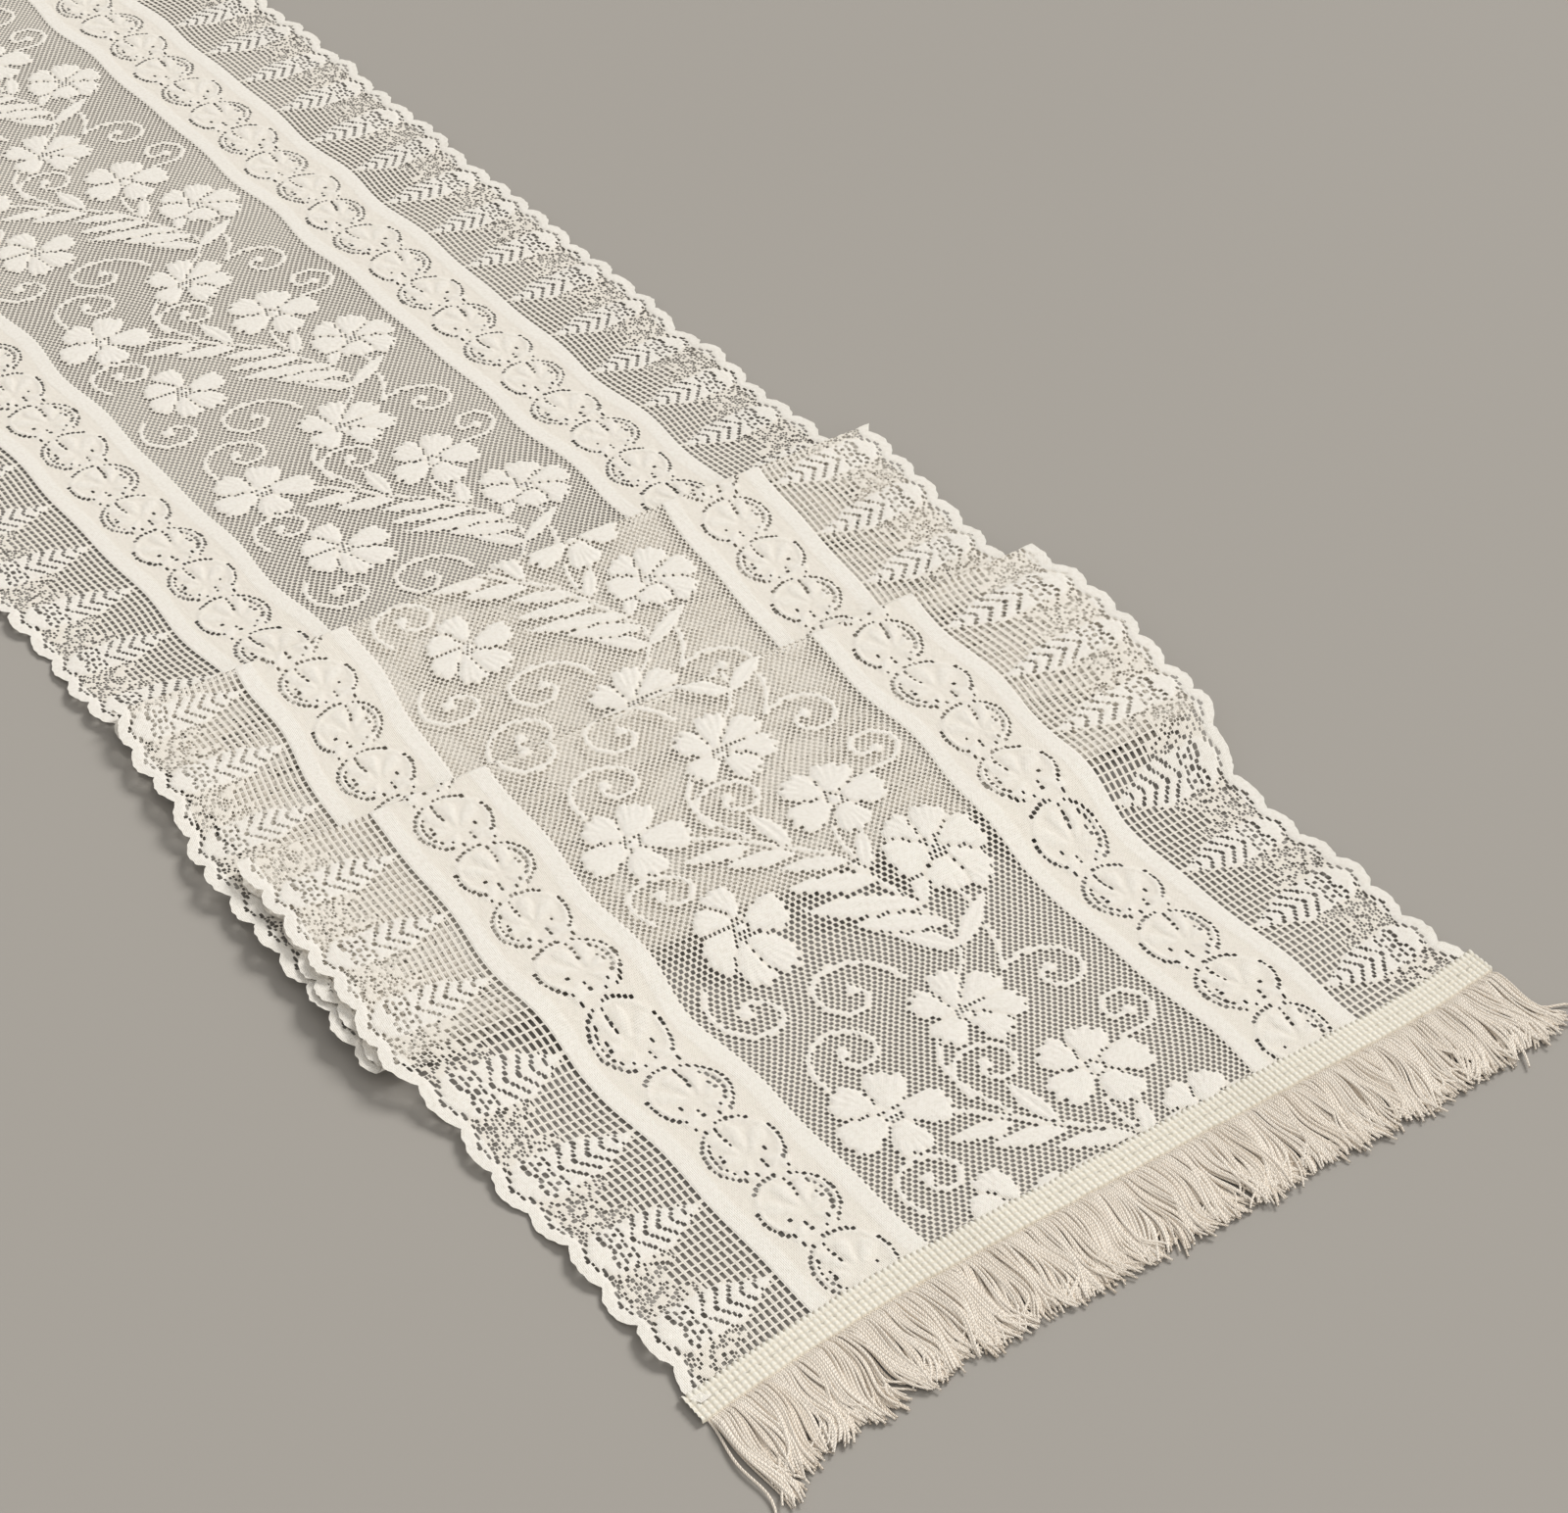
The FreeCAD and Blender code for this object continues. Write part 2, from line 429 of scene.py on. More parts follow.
def by_zone(out, field, band, border):
    """Each cell's value from the zone that it is in."""
    return np.select([out < BAND_INNER, out <= BAND_OUTER], [field, band], border)


def chart():
    """One chart of the lace: holes, how far each is stretched, and each cell's height and tone."""
    along, across, row, column = cells()
    out = np.abs(across)
    net, field_dots, inside, ribs = field_chart(along, across, row, column)
    squares, border_dots, fern = border_chart(along, across, row)
    band_dots, relief, middle = band_chart(along, across)

    dotted = by_zone(out, field_dots, band_dots, border_dots)
    stretch = by_zone(out, NET_STRETCH * net, 0.0, SQUARE_STRETCH * squares)
    stretch = np.where(dotted, DOT_STRETCH, stretch)

    flower_rise = PETAL_HEIGHT * swelling(inside, 1.1) + 0.16 * ribs * (inside > 0.8)
    band_rise = 0.25 - 0.12 * middle + 0.5 * relief
    border_rise = 0.4 * swelling(fern, 1.2) + 0.3 * smooth((out - RIM_START) / 3)
    grain = np.random.default_rng(SEED + 1).normal(0, 1, out.shape)
    height = by_zone(out, flower_rise, band_rise, border_rise)
    height = height + grain * np.where(middle, 0.11, 0.05)

    # Painted light and shade: the band's tone follows its relief, lighter on the rings and lobes and
    # darker between them; the raised work of the flowers, ferns and rim is lighter than the net
    # ground, partly from its closer knit and partly as painted light.
    band_painted_shading = np.where(middle, 0.15 + 0.6 * relief, 1.0)
    raised = by_zone(out, inside > 0, band_painted_shading, (fern > 0) | (out > RIM_START))
    tone = np.clip(0.25 + 0.7 * raised + 0.06 * grain, 0, 1)
    return stretch > 0, stretch, height, tone


HOLES, STRETCH, HEIGHT, TONE = chart()


def cells_round_corners(values, beyond):
    """The four cells round each of the chart's corners; the chart repeats along the runner."""
    repeated = np.concatenate([values[-1:], values, values[:1]])
    padded = np.pad(repeated, ((0, 0), (1, 1)), beyond)
    return padded[:-1, :-1], padded[:-1, 1:], padded[1:, :-1], padded[1:, 1:]


def corner_values(values):
    """Values at the chart's corners from those of the cells round them."""
    a, b, c, d = cells_round_corners(values, "edge")
    return (a + c + b + d) / 4


def corner_shape():
    """Height, tone, and the small moves that shape the holes, at the chart's corners."""
    a, b, c, d = cells_round_corners(STRETCH, "constant")
    touches = corner_values(HOLES.astype(float)) > 0
    height = corner_values(HEIGHT) - 0.14 * touches
    return height, corner_values(TONE), (a + b) - (c + d), (a + c) - (b + d)


CORNER_HEIGHT, CORNER_TONE, MOVE_ALONG, MOVE_ACROSS = corner_shape()


# ---------------------------------------------------------------- the folded cloth's path

def turn(x, z, radius, towards, steps=10):
    """Half a circle of cloth from the layer below to the one above."""
    angles = np.linspace(-math.pi / 2, math.pi / 2, steps + 1)[1:-1]
    return [(x + towards * radius * math.cos(v), z + radius * math.sin(v)) for v in angles]


def spring(x, fold):
    """How far a layer springs up near the visible fold it comes from."""
    return FOLD_LIFT * np.exp(-(x - fold) / FOLD_LIFT_REACH)


def path_points():
    """The cloth's middle line as (x, z) points, and where each stretch of it ends."""
    level = [REST_HEIGHT + k * LAYER_STEP for k in range(5)]
    step = 1.0
    points, marks = [], []

    def run(x0, x1, z_of_x):
        count = max(2, int(abs(x1 - x0) / step))
        points.extend((x, float(z_of_x(x))) for x in np.linspace(x0, x1, count))
        marks.append(len(points) - 1)

    def top_leaf(x):
        down = smooth((x - X_SLOPE_TOP + 4) / (X_SLOPE_FOOT - X_SLOPE_TOP + 8))
        return level[4] + spring(x, X_FOLD_2) - (level[4] - level[0]) * down

    half = LAYER_STEP / 2
    raised = half + FOLD_LIFT / 2
    run(X_FAR_LACE, X_CREASE, lambda x: level[0])
    points.extend(turn(X_CREASE, level[0] + half, half, 1))
    run(X_CREASE, X_FOLD_1, lambda x: level[1])
    points.extend(turn(X_FOLD_1, level[1] + raised, raised, -1))
    run(X_FOLD_1, X_CREASE, lambda x: level[2] + spring(x, X_FOLD_1))
    points.extend(turn(X_CREASE, level[2] + half, half, 1))
    run(X_CREASE, X_FOLD_2, lambda x: level[3])
    points.extend(turn(X_FOLD_2, level[3] + raised, raised, -1))
    run(X_FOLD_2, X_SLOPE_TOP, top_leaf)
    run(X_SLOPE_TOP + step, X_SLOPE_FOOT + 20, top_leaf)
    run(X_SLOPE_FOOT + 20 + step, X_NEAR_LACE, top_leaf)
    return np.array(points), marks


PATH, MARKS = path_points()
PATH_AT = np.concatenate([[0.0], np.cumsum(np.hypot(*np.diff(PATH, axis=0).T))])
TANGENT = np.gradient(PATH, PATH_AT, axis=0)
TANGENT /= np.linalg.norm(TANGENT, axis=1)[:, None]
KNIT_STRETCHES = [
    KNIT_LAYER_1, KNIT_LAYER_2, KNIT_LAYER_3, KNIT_LAYER_4, KNIT_ON_STACK, KNIT_SLOPE, KNIT_LAST,
]
KNIT_AT = np.concatenate([[0.0], np.cumsum(KNIT_STRETCHES)])
MARK_AT = np.concatenate([[0.0], PATH_AT[MARKS]])

# How the folded cloth lies askew: place along the path, sideways shift, skew
ASKEW = np.array([
    (0, 0, 0), (MARK_AT[1] - 60, 0, 0), (MARK_AT[1], 0, 0.012), (MARK_AT[2], 9, 0.018),
    (MARK_AT[2] + 107, -6.6, 0.018), (MARK_AT[3], -9, 0.010), (MARK_AT[4], 3.5, 0.008),
    (MARK_AT[5], -5, 0.012), (MARK_AT[6], -6.2, 0.012), (MARK_AT[7], -5.6, 0.027),
]).T
TOTAL_COURSES = int(KNIT_AT[-1] / CELL_ALONG)
END_ROW = round(END_PHASE / CELL_ALONG)


def ripple(x, y):
    """Gentle unevenness of the lying cloth; it never goes below the table."""
    swell = 0.35 * (1 + np.sin(x / 31.0 + 1.3 * np.sin(y / 57.0)) * np.cos(y / 44.0 + 0.7))
    edge = smooth((np.abs(y) - 128) / 40)
    curl = 1.1 * edge * (1 + np.sin(x / 8.5 + 2 * np.sin(x / 41.0) + np.sign(y)))
    return swell + curl


def end_bow(across):
    """How far ahead of a straight line each part of the near end lies."""
    left = np.clip((-across - 75) / 90, 0, None)
    right = np.clip((across - 110) / 50, 0, None)
    return 7.5 * left ** 1.6 - 3.0 * right ** 2


def lay(knit, across, height):
    """Where cloth at `knit` along and `across` goes, `height` above its middle, in metres."""
    at = np.interp(knit, KNIT_AT, MARK_AT)
    x, z = [np.interp(at, PATH_AT, PATH[:, k]) for k in (0, 1)]
    tx, tz = [np.interp(at, PATH_AT, TANGENT[:, k]) for k in (0, 1)]
    sideways, skew = [np.interp(at, ASKEW[0], ASKEW[k]) for k in (1, 2)]
    stacked = smooth((at - MARK_AT[2]) / 3) * smooth((MARK_AT[6] - at) / 60)
    wander = 1.6 * waves(at + 0.3 * across, (83, 61), SEED)
    y = across * (1 + STACK_STRETCH * stacked) + sideways + wander
    loose = smooth((np.abs(across) - BAND_OUTER) / 50) * (across > 0) * stacked
    y = y + loose * (8.0 * np.exp(-((x - 300) / 70) ** 2) + 3.0)
    ahead = smooth((at - MARK_AT[5]) / (MARK_AT[7] - MARK_AT[5]))
    x = x - skew * across + ahead * end_bow(across)
    z = z + ripple(x, y)
    return np.stack([(x - height * tz) * MM, y * MM, (z + height * tx) * MM], -1)


# ---------------------------------------------------------------- mesh making

def make_mesh(name, points, quads, material, uv=None, tone=None):
    """A smooth mesh object from arrays of points and quads, with its uv and tone per point."""
    mesh = bpy.data.meshes.new(name)
    mesh.vertices.add(len(points))
    mesh.vertices.foreach_set("co", points.astype(np.float32).ravel())
    mesh.loops.add(quads.size)
    mesh.loops.foreach_set("vertex_index", quads.astype(np.int32).ravel())
    mesh.polygons.add(len(quads))
    mesh.polygons.foreach_set("loop_start", np.arange(0, quads.size, 4, dtype=np.int32))
    mesh.polygons.foreach_set("use_smooth", np.ones(len(quads), bool))
    mesh.update(calc_edges=True)
    if uv is not None:
        layer = mesh.uv_layers.new(name="yarn")
        layer.uv.foreach_set("vector", uv[quads.ravel()].astype(np.float32).ravel())
    if tone is not None:
        layer = mesh.attributes.new("tone", "FLOAT", "POINT")
        layer.data.foreach_set("value", tone.astype(np.float32).ravel())
    mesh.materials.append(material)
    obj = bpy.data.objects.new(name, mesh)
    bpy.context.scene.collection.objects.link(obj)
    return obj


def grid_quads(corner, wide):
    """Quads of a grid `wide` points wide, from each quad's first point."""
    return np.stack([corner, corner + 1, corner + wide + 1, corner + wide], -1)


def scalloped(across, along):
    """Moves the rim in and out to make the scalloped edge."""
    out = np.abs(across)
    bulge = np.abs(np.cos(math.pi * (along - FERN_PHASE) / SCALLOP_PITCH)) ** 0.7
    share = np.clip((out - RIM_START) / (HALF_WIDTH - RIM_START), 0, 1)
    crinkle = 0.45 * waves(along + 3 * np.sign(across), (3.8, 5.3, 7.9), SEED + 2)
    return np.sign(across) * (out - share * (SCALLOP_DEPTH * (1 - bulge) + crinkle))


def lace_piece(name, first, last, left, right, openness, material):
    """The lace between two courses and two wales, with its holes drawn open."""
    rows = np.arange(first, last + 1)
    chart_rows = (rows - TOTAL_COURSES + END_ROW) % COURSES
    columns = np.arange(left, right + 1)
    grid = np.ix_(chart_rows, columns)
    along = (rows[:, None] + openness * MOVE_ALONG[grid]) * CELL_ALONG
    across = (columns[None, :] + openness * MOVE_ACROSS[grid]) * CELL_ACROSS - HALF_WIDTH
    across = scalloped(across, chart_rows[:, None] * CELL_ALONG)
    points = lay(along, across, CORNER_HEIGHT[grid]).reshape(-1, 3)
    wide = len(columns)
    corner = np.arange(len(rows) - 1)[:, None] * wide + np.arange(wide - 1)[None, :]
    corner = corner[~HOLES[np.ix_(chart_rows[:-1], columns[:-1])]]
    facing_up = np.stack([corner, corner + wide, corner + wide + 1, corner + 1], -1)
    used, quads = np.unique(facing_up, return_inverse=True)
    quads = quads.reshape(-1, 4)
    uv = np.stack(np.broadcast_arrays(across, along), -1).reshape(-1, 2)[used]
    return make_mesh(name, points[used], quads, material, uv, CORNER_TONE[grid].ravel()[used])


# ---------------------------------------------------------------- materials

class Nodes:
    """A short way to wire a material's nodes."""

    def __init__(self, name):
        self.material = bpy.data.materials.new(name)
        self.material.use_nodes = True
        self.tree = self.material.node_tree
        self.shader = self.tree.nodes["Principled BSDF"]

    def add(self, kind, **inputs):
        """A new node; inputs are its sockets' names, with _ for a space."""
        node = self.tree.nodes.new(kind)
        for key, value in inputs.items():
            self.feed(node, key.replace("_", " "), value)
        return node

    def feed(self, node, key, value):
        """Links a socket to the input, or sets it to a plain value."""
        socket = node.inputs[int(key)] if key.isdigit() else node.inputs[key]
        if isinstance(value, bpy.types.NodeSocket):
            self.tree.links.new(value, socket)
        else:
            socket.default_value = value

    def math(self, operation, *values):
        node = self.tree.nodes.new("ShaderNodeMath")
        node.operation = operation
        for k, value in enumerate(values):
            self.feed(node, str(k), value)
        return node.outputs[0]

    def mix(self, share, one, two):
        node = self.tree.nodes.new("ShaderNodeMix")
        node.data_type = "RGBA"
        self.feed(node, "0", share)
        self.feed(node, "6", one)
        self.feed(node, "7", two)
        return node.outputs[2]

    def noise(self, scale, detail=3.0):
        place = self.add("ShaderNodeTexCoord").outputs["Object"]
        return self.add("ShaderNodeTexNoise", Vector=place, Scale=scale, Detail=detail).outputs["Fac"]

    def yarn_axes(self):
        """The uv layer's two numbers, in millimetres."""
        uv = self.add("ShaderNodeUVMap")
        uv.uv_map = "yarn"
        split = self.add("ShaderNodeSeparateXYZ", Vector=uv.outputs[0])
        return split.outputs[0], split.outputs[1]

    def tone(self):
        """The tone that each point of the mesh carries."""
        node = self.tree.nodes.new("ShaderNodeAttribute")
        node.attribute_name = "tone"
        return node.outputs["Fac"]

    def bump(self, height, distance, strength=1.0):
        node = self.add("ShaderNodeBump", Height=height, Distance=distance, Strength=strength)
        self.tree.links.new(node.outputs[0], self.shader.inputs["Normal"])

    def finish(self, colour, roughness, sheen):
        self.feed(self.shader, "Base Color", colour)
        self.shader.inputs["Roughness"].default_value = roughness
        self.shader.inputs["Sheen Weight"].default_value = sheen
        self.shader.inputs["Sheen Roughness"].default_value = 0.5
        self.shader.inputs["Specular IOR Level"].default_value = 0.25
        return self.material


def lace_material():
    """Ivory cotton knit: rows of small loops, whiter on the raised work, partly from its closer knit
    and partly as painted light, and darker on the ground as painted shade.
    """
    n = Nodes("ivory_lace_knit")
    loop_width, loop_length = 0.635, 0.775
    across, along = n.yarn_axes()
    # The darker ground colour carries painted shade and the whiter raised colour carries painted
    # light, mixed by each point's tone.
    ground, raised = (0.78, 0.725, 0.635, 1), (0.865, 0.835, 0.775, 1)
    colour = n.mix(n.tone(), ground, raised)
    patch = n.math("MULTIPLY", n.noise(26.0), 0.35)
    colour = n.mix(patch, colour, (0.84, 0.79, 0.70, 1))
    loops = n.math("SINE", n.math("MULTIPLY", across, 2 * math.pi / loop_width))
    half_turn = n.math("MULTIPLY", across, math.pi / loop_width)
    lean = n.math("MULTIPLY", n.math("ABSOLUTE", n.math("SINE", half_turn)), 2.4)
    climb = n.math("MULTIPLY", along, 2 * math.pi / loop_length)
    legs = n.math("SINE", n.math("ADD", climb, lean))
    knit = n.math("ADD", n.math("MULTIPLY", loops, 0.4), n.math("MULTIPLY", legs, 0.6))
    grain = n.math("MULTIPLY", n.math("SUBTRACT", n.noise(720.0, 2.0), 0.42), 1.6)
    colour = n.mix(grain, colour, (0.72, 0.67, 0.585, 1))
    fuzz = n.math("ADD", n.math("MULTIPLY", knit, 0.35), n.noise(1500.0, 4.0))
    n.bump(fuzz, 0.00026, 0.9)
    return n.finish(colour, 0.9, 0.2)


def yarn_material(name, dark, light, twist):
    """Loose spun yarn; uv.x runs once round it and uv.y along it in millimetres."""
    n = Nodes(name)
    around, along = n.yarn_axes()
    # In the fringe the tone carries painted shade on its lower layers of yarn.
    colour = n.mix(n.tone(), dark, light)
    colour = n.mix(n.math("MULTIPLY", n.noise(420.0, 2.0), 0.35), colour, dark)
    turns_around = n.math("MULTIPLY", around, 4 * math.pi)
    turns_along = n.math("MULTIPLY", along, 2 * math.pi / twist)
    plies = n.math("ABSOLUTE", n.math("SINE", n.math("ADD", turns_around, turns_along)))
    n.bump(n.math("ADD", plies, n.math("MULTIPLY", n.noise(5000.0, 3.0), 0.5)), 0.00022, 0.9)
    return n.finish(colour, 0.88, 0.4)


def braid_material():
    """Yellowish cream braid; tone is high on its bumps as painted light and low in its grooves and at
    its edges as painted shade.
    """
    n = Nodes("cream_heading_braid")
    strand_pitch = 0.55
    # Painted shade in the darker colour, painted light in the lighter one.
    colour = n.mix(n.tone(), (0.70, 0.61, 0.46, 1), (1.0, 0.97, 0.87, 1))
    colour = n.mix(n.math("MULTIPLY", n.noise(60.0), 0.3), colour, (0.92, 0.86, 0.72, 1))
    across, along = n.yarn_axes()
    slant = n.math("ADD", along, across)
    strands = n.math("SINE", n.math("MULTIPLY", slant, 2 * math.pi / strand_pitch))
    n.bump(n.math("ADD", n.math("MULTIPLY", strands, 0.5), n.noise(4200.0, 3.0)), 0.00018, 0.8)
    return n.finish(colour, 0.88, 0.35)


def floor_material():
    """A plain pale table top."""
    n = Nodes("plain_pale_floor")
    colour = n.mix(n.noise(1.4, 2.0), (0.33, 0.31, 0.282, 1), (0.345, 0.325, 0.297, 1))
    return n.finish(colour, 0.75, 0.0)


# ---------------------------------------------------------------- the trims

class End:
    """One end of the runner: turns (out past the lace end, across, up) into places."""

    def __init__(self, side):
        self.side = side
        self.near = side == "near"
        self.x = X_NEAR_LACE if self.near else X_FAR_LACE
        self.out = 1 if self.near else -1
        self.shift, self.skew = ASKEW[1:, -1] if self.near else (0.0, 0.0)
        self.corner_growth = 8.0 if self.near else 3.0      # longer yarns at the -Y corner

    def place(self, out, across, up):
        bow = end_bow(across) - self.skew * across if self.near else 0.0
        x = self.x + self.out * out + bow
        y = across + self.shift
        return np.stack(np.broadcast_arrays(x * MM, y * MM, up * MM), -1)


def braid(end, material):
    """The heading braid: rows of square bumps, with a looped top edge."""
    across = np.linspace(-HALF_WIDTH - 2, HALF_WIDTH + 2, 1160)
    down = np.linspace(0, 1, 44)
    y, t = np.meshgrid(across, down, indexing="ij")
    loop = np.abs(np.sin(np.pi * y / BRAID_RIB))
    bumps = loop ** 0.45 * np.abs(np.sin(np.pi * BRAID_ROWS * t)) ** 0.45
    edge = np.minimum(smooth(t / 0.05), smooth((1 - t) / 0.05))
    wobble = 0.25 * waves(y, (41, 23, 13), SEED + 3)
    swell = 0.3 * waves(y, (90, 57), SEED + 4) ** 2
    out = -BRAID_OVERLAP + BRAID_WIDTH * t - 1.7 * loop * (1 - t) ** 6
    up = BRAID_BOTTOM + 0.1 + (0.6 + 0.9 * bumps) * edge + swell
    points = end.place(out + wobble, y, up).reshape(-1, 3)
    # Painted light on the bump tops; painted shade in the grooves and along both edges.
    tone = (0.25 + 0.75 * bumps * edge).ravel()
    uv = np.stack([y, out], -1).reshape(-1, 2)
    wide = len(down)
    corner = np.arange(len(across) - 1)[:, None] * wide + np.arange(wide - 1)[None, :]
    quads = grid_quads(corner.ravel(), wide)
    if end.near:
        quads = quads[:, ::-1]
    return make_mesh(end.side + "_heading_braid_weave", points, quads, material, uv, tone)


def tubes(name, lines, radius, material, tones, sides=5):
    """Many round yarns at once; lines has the shape (yarns, points, 3) in metres."""
    count, steps, _ = lines.shape
    tangent = np.gradient(lines, axis=1)
    tangent /= np.linalg.norm(tangent, axis=2, keepdims=True) + 1e-12
    up = np.array([0.0, 0.0, 1.0])
    side = np.cross(tangent, up)
    side /= np.linalg.norm(side, axis=2, keepdims=True) + 1e-12
    over = np.cross(side, tangent)
    angle = np.arange(sides + 1) * 2 * math.pi / sides
    ring = (side[:, :, None] * np.cos(angle)[:, None] + over[:, :, None] * np.sin(angle)[:, None])
    points = lines[:, :, None] + ring * radius[:, :, None, None]
    loop = sides + 1
    base = np.arange(count)[:, None, None] * steps * loop + np.arange(steps - 1)[:, None] * loop
    corner = (base + np.arange(sides)).ravel()
    step_lengths = np.linalg.norm(np.diff(lines, axis=1), axis=2)
    length = np.concatenate([np.zeros((count, 1)), np.cumsum(step_lengths, axis=1)], 1) / MM
    around = np.broadcast_to(np.arange(loop) / sides, points.shape[:3])
    along = np.broadcast_to(length[:, :, None], points.shape[:3])
    tone = np.broadcast_to(tones[:, None, None], points.shape[:3])
    uv = np.stack([around, along], -1).reshape(-1, 2)
    quads = grid_quads(corner, loop)
    return make_mesh(name, points.reshape(-1, 3), quads, material, uv, tone.ravel())


def bunch_values(root, layer, spread, seed):
    """One random value for each bunch of neighbouring yarns."""
    place = (root + 1.4 * layer) / 5.2 + 0.8 * waves(root, (31, 17), SEED + 11)
    values = np.random.default_rng(seed).normal(0, spread, 200)
    return values[np.floor(place).astype(int) % 200][:, None]


def yarn_across(root, layer, t, wild, hook):
    """Where each yarn is across the runner at share t of its length."""
    column = root[:, None]
    clump = 6.5 * waves(column + 1.5 * layer[:, None], (61, 29, 14), SEED + 6)
    clump = clump + bunch_values(root, layer, 3.6, SEED + 12)
    clump = clump + bunch_values(root, layer, 1.7, SEED + 13) * np.sin(2 * np.pi * t)
    sway = 3.2 * np.sin(2 * np.pi * (0.9 * t + 0.5 * waves(column, (47, 19), SEED + 8)))
    flare = 6.0 * smooth((np.abs(column) - 150) / 16) * np.sign(column)
    return column + (clump + flare) * t ** 1.6 + sway * t * 0.8 + 1.2 * wild * t ** 2 + hook


def yarn_up(root, layer, t):
    """How high each yarn is above the table at share t of its length."""
    lift = 0.6 + 0.6 * layer[:, None] * smooth(t / 0.16)
    arch = 0.5 * np.sin(np.pi * t) * (1 + 0.6 * waves(root[:, None], (23, 11), SEED + 9))
    return lift + arch - (lift - 0.6) * 0.6 * t


def fringe(end, part, first, last, material, seed):
    """The cut yarns of one part of a skirt, in layers and in wavy bunches."""
    random = np.random.default_rng(seed)
    per_layer = int((last - first) / YARN_PITCH)
    count = per_layer * YARN_LAYERS
    layer = np.repeat(np.arange(YARN_LAYERS), per_layer)
    number = np.tile(np.arange(per_layer), YARN_LAYERS)
    root = first + (number + 0.33 * layer + 0.5) * YARN_PITCH
    root = root + random.normal(0, 0.25, count)
    t = np.linspace(0, 1, 16)[None, :]

    length = YARN_LENGTH + 2.0 * waves(root, (37, 17, 9), SEED + 5) + random.normal(0, 1.5, count)
    length = length + end.corner_growth * smooth((-root - 156) / 8)
    wild = random.normal(0, 1, (count, 1))
    hooked = random.random((count, 1)) < 0.24
    hook = hooked * np.sign(wild) * 4.0 * smooth((t - 0.74) / 0.26)
    out = BRAID_WIDTH - BRAID_OVERLAP - 1.5 + (length[:, None] + 1.5) * t - 0.5 * np.abs(hook)
    across = yarn_across(root, layer, t, wild, hook)
    up = yarn_up(root, layer, t) + 0.25 * np.abs(random.normal(0, 1, (count, 1))) * t
    lines = end.place(out, across, up)

    taper = 1 - 0.25 * smooth((t - 0.9) / 0.1)
    radius = YARN_RADIUS * taper * random.uniform(0.85, 1.15, (count, 1))
    streaks = 0.25 * waves(root, (13, 7, 31), SEED + 10) + random.normal(0, 0.12, count)
    # Painted shade: the lower layers of yarn are darker and the upper ones lighter; the streaks are
    # random tone.
    tones = np.clip(0.35 + 0.14 * layer + streaks, 0, 1)
    return tubes(f"{end.side}_fringe_yarns_{part}", lines, radius * MM, material, tones)


def stitches(end, material):
    """Sewing thread: short stitches along the middle of the braid."""
    middle = np.arange(-160, 161, STITCH_PITCH)[:, None]
    t = np.linspace(-0.5, 0.5, 6)[None, :]
    up = BRAID_BOTTOM + 1.25 + 0.35 * np.cos(np.pi * t)
    lines = end.place(BRAID_WIDTH / 2 - BRAID_OVERLAP, middle + STITCH_LENGTH * t, up)
    radius = np.full(lines.shape[:2], THREAD_RADIUS * MM)
    tones = np.full(len(middle), 0.8)
    return tubes(end.side + "_sewing_stitches", lines, radius, material, tones)


# ---------------------------------------------------------------- the runner

def stretch_courses(first_mark, last_mark, share_from=0.0, share_to=1.0):
    """The courses of part of the cloth between two marks of its path."""
    start, end = KNIT_AT[first_mark], KNIT_AT[last_mark]
    left_over = KNIT_AT[-1] - TOTAL_COURSES * CELL_ALONG
    low = start + (end - start) * share_from - left_over
    high = start + (end - start) * share_to - left_over
    first = round(max(0.0, low) / CELL_ALONG)
    return int(first), min(TOTAL_COURSES, int(round(high / CELL_ALONG)))


STRETCHES = {
    "layer_1_far": (stretch_courses(0, 1, 0, 1 / 3), ["lace_layer_1_table"]),
    "layer_1_middle": (stretch_courses(0, 1, 1 / 3, 2 / 3), []),
    "layer_1_near": (stretch_courses(0, 1, 2 / 3, 1), ["lace_crease_1"]),
    "layer_2": (stretch_courses(1, 2), ["lace_layer_2", "lace_crease_2_fold"]),
    "layer_3": (stretch_courses(2, 3), ["lace_layer_3", "lace_crease_3"]),
    "layer_4": (stretch_courses(3, 4), ["lace_layer_4", "lace_crease_4_fold"]),
    "layer_5_stack": (stretch_courses(4, 5), ["lace_layer_5_on_stack"]),
    "layer_5_near": (stretch_courses(5, 7), ["lace_layer_5_slope", "lace_layer_5_table"]),
}
HIDDEN = ("layer_2", "layer_4")
BAND_COLUMN = round((HALF_WIDTH - BAND_INNER) / CELL_ACROSS)
STRIPS = {
    "right_side": (WALES - BAND_COLUMN, WALES),
    "field": (BAND_COLUMN, WALES - BAND_COLUMN),
    "left_side": (0, BAND_COLUMN),
}


def trim_materials():
    """The materials that the two trims share: braid, yarn and sewing thread."""
    yarn = yarn_material("ecru_yarn", (0.76, 0.65, 0.52, 1), (1.0, 0.92, 0.81, 1), 2.6)
    thread = yarn_material("cream_thread", (0.72, 0.66, 0.54, 1), (0.88, 0.83, 0.70, 1), 1.2)
    return braid_material(), yarn, thread


def skirt(end, material):
    """The fringe of one end, in three parts side by side."""
    width = 2 * HALF_WIDTH / 3
    parts = []
    for k, part in enumerate(("left", "middle", "right")):
        first = -HALF_WIDTH + k * width
        seed = SEED + 20 * k + (end.side == "far")
        parts.append(fringe(end, part, first, first + width, material, seed))
    return parts


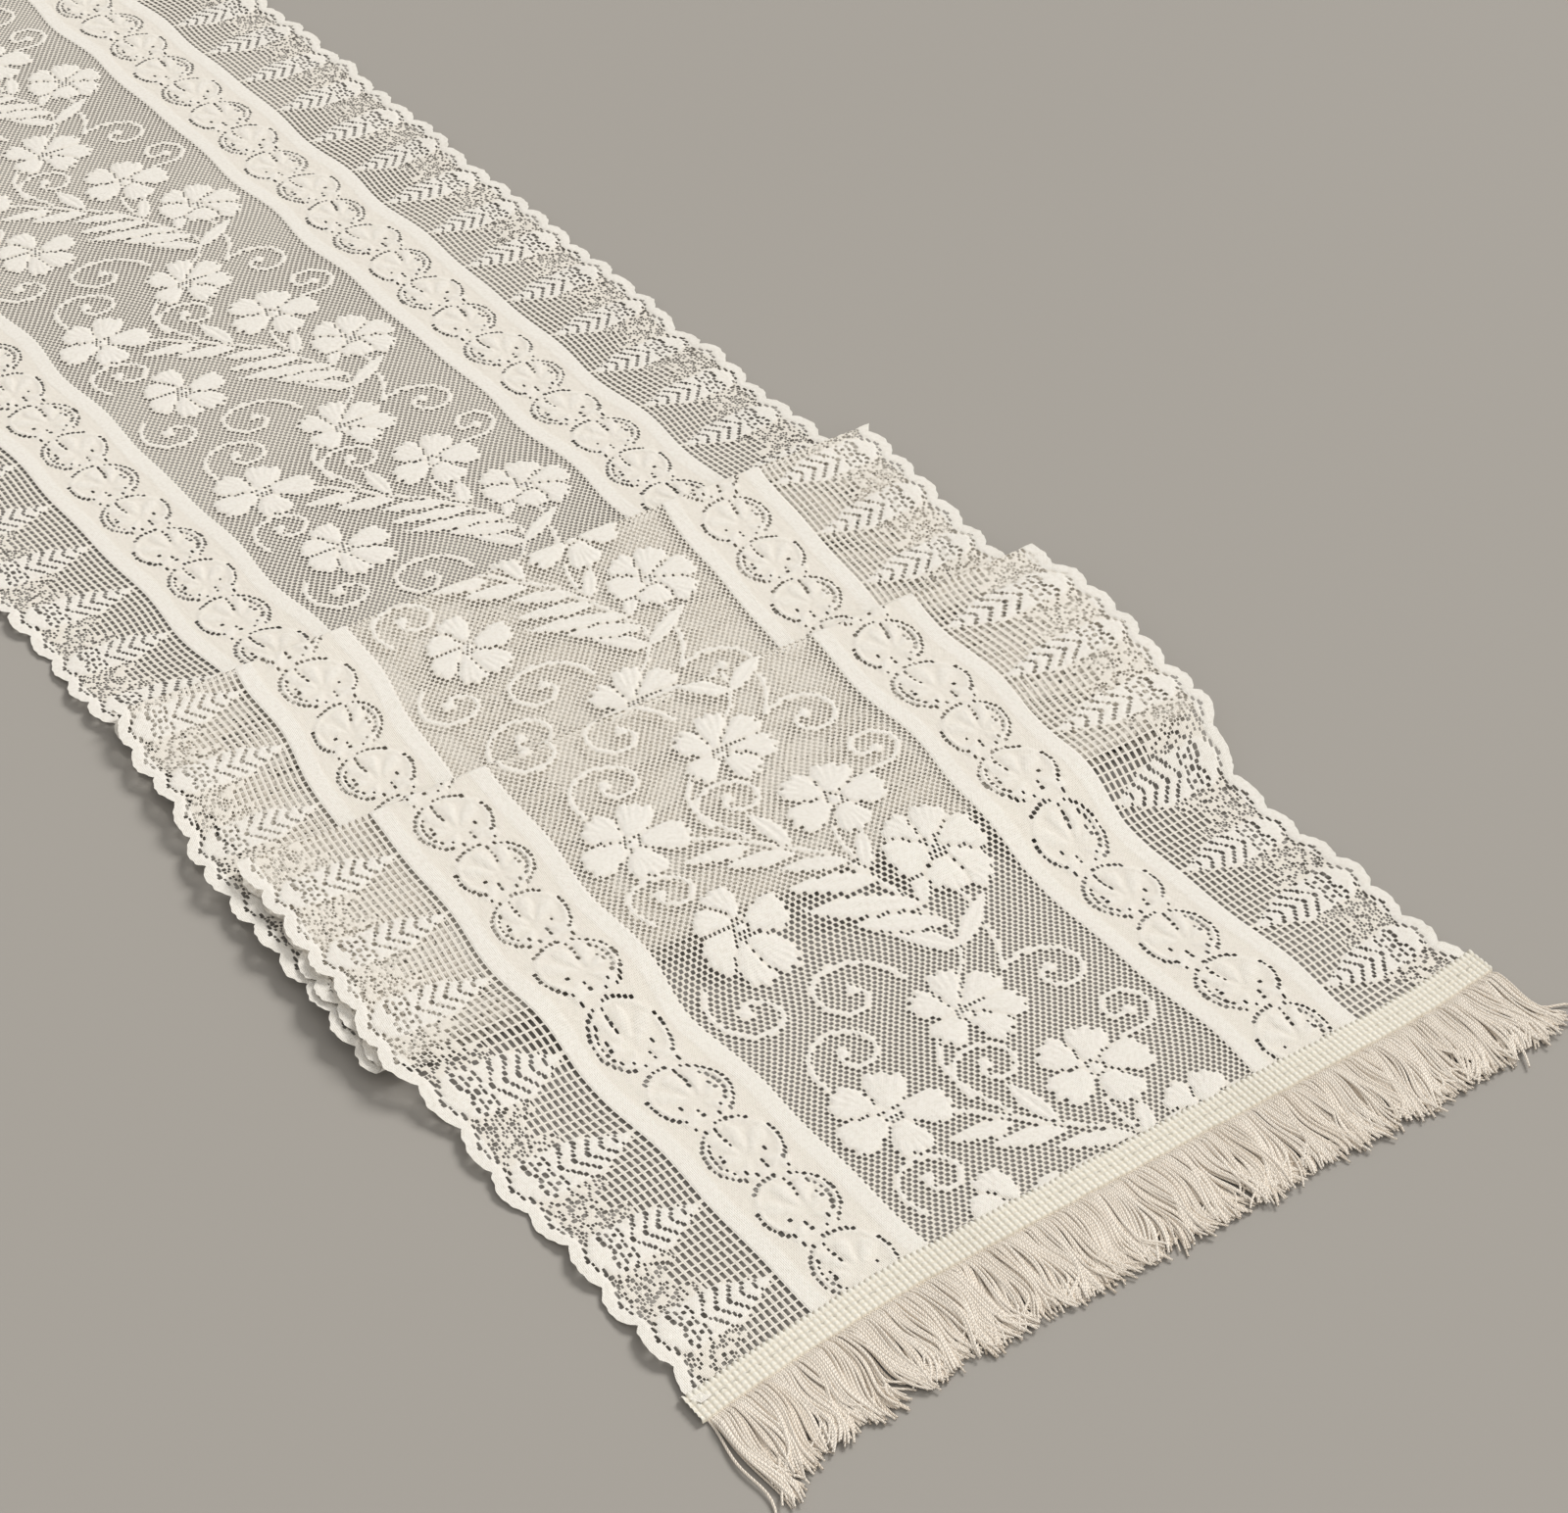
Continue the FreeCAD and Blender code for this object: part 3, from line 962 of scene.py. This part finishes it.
def trim(end, materials):
    """The heading braid, the fringe and the sewing thread of one end."""
    braid_cloth, yarn, thread = materials
    groups = {
        "heading_braid": ([braid(end, braid_cloth)], "_heading_braid"),
        "fringe_yarn": (skirt(end, yarn), "_fringe_skirt"),
        "sewing_thread": ([stitches(end, thread)], "_sewing_thread"),
    }
    pieces = []
    for slot, (made, node) in groups.items():
        for piece in made:
            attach(piece, "root")
            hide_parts(end.side + node)
            pieces.append(piece)
    return pieces


def lace_sheet(stretch, strip, material):
    """One strip of one stretch of the lace."""
    (first, last), nodes = STRETCHES[stretch]
    left, right = STRIPS[strip]
    openness = HIDDEN_OPENNESS if stretch in HIDDEN else 1.0
    name = f"lace_{stretch}_{strip}"
    piece = lace_piece(name, first, last, left, right, openness, material)
    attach(piece, "root")
    if nodes:
        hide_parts(*nodes)


def runner():
    """All the sheets of lace, and the trims of both ends."""
    lace = lace_material()
    materials = trim_materials()
    carried = {
        ("layer_5_near", "field"): trim(End("near"), materials),
        ("layer_1_far", "field"): trim(End("far"), materials),
    }
    for stretch in STRETCHES:
        for strip in STRIPS:
            lace_sheet(stretch, strip, lace)


# ---------------------------------------------------------------- the stage

def table_top():
    """The plain table that the runner lies on."""
    half = 30.0     # metres; wide enough to reach the horizon in low views
    corners = np.array([(-half, -half, 0), (half, -half, 0), (half, half, 0), (-half, half, 0)])
    top = make_mesh("table_top", corners, np.array([[0, 1, 2, 3]]), floor_material())


def soft_lamp(name, towards, spread, power):
    """Even light over the whole room from one side, as from a large diffuser far away."""
    data = bpy.data.lights.new(name, "SUN")
    data.angle = math.radians(spread)
    data.energy = power
    data.color = (1.0, 0.985, 0.96)
    lamp = bpy.data.objects.new(name, data)
    lamp.rotation_euler = Vector(towards).to_track_quat("-Z", "Y").to_euler()
    bpy.context.scene.collection.objects.link(lamp)


def studio():
    """An evenly lit pale room with a broad key light and a softer fill."""
    world = bpy.data.worlds.new("soft_room")
    world.use_nodes = True
    background = world.node_tree.nodes["Background"]
    background.inputs["Color"].default_value = (1.0, 0.98, 0.95, 1)
    background.inputs["Strength"].default_value = 0.38
    bpy.context.scene.world = world
    soft_lamp("key", (0.24, -1.0, -0.92), 24, 2.5)
    soft_lamp("fill", (-1.0, 0.28, -0.95), 70, 1.0)


def camera():
    """A long lens looking down from beyond the near -Y corner, with the runner running away."""
    azimuth, elevation, roll = math.radians(54.81), math.radians(37.5), math.radians(0.76)
    target, distance = Vector((0.288, 0.0316, 0.0)), 1.3874
    level = math.cos(elevation)
    back = Vector((math.sin(azimuth) * level, -math.cos(azimuth) * level, math.sin(elevation)))
    data = bpy.data.cameras.new("camera")
    data.lens = 88.24
    data.sensor_width = 36.0
    eye = bpy.data.objects.new("camera", data)
    eye.rotation_mode = "QUATERNION"
    eye.rotation_quaternion = Quaternion(back, roll) @ back.to_track_quat("Z", "Y")
    eye.location = target + distance * back
    bpy.context.scene.collection.objects.link(eye)
    bpy.context.scene.camera = eye


bpy.context.scene.view_settings.view_transform = "Standard"
camera()
table_top()
studio()
runner()
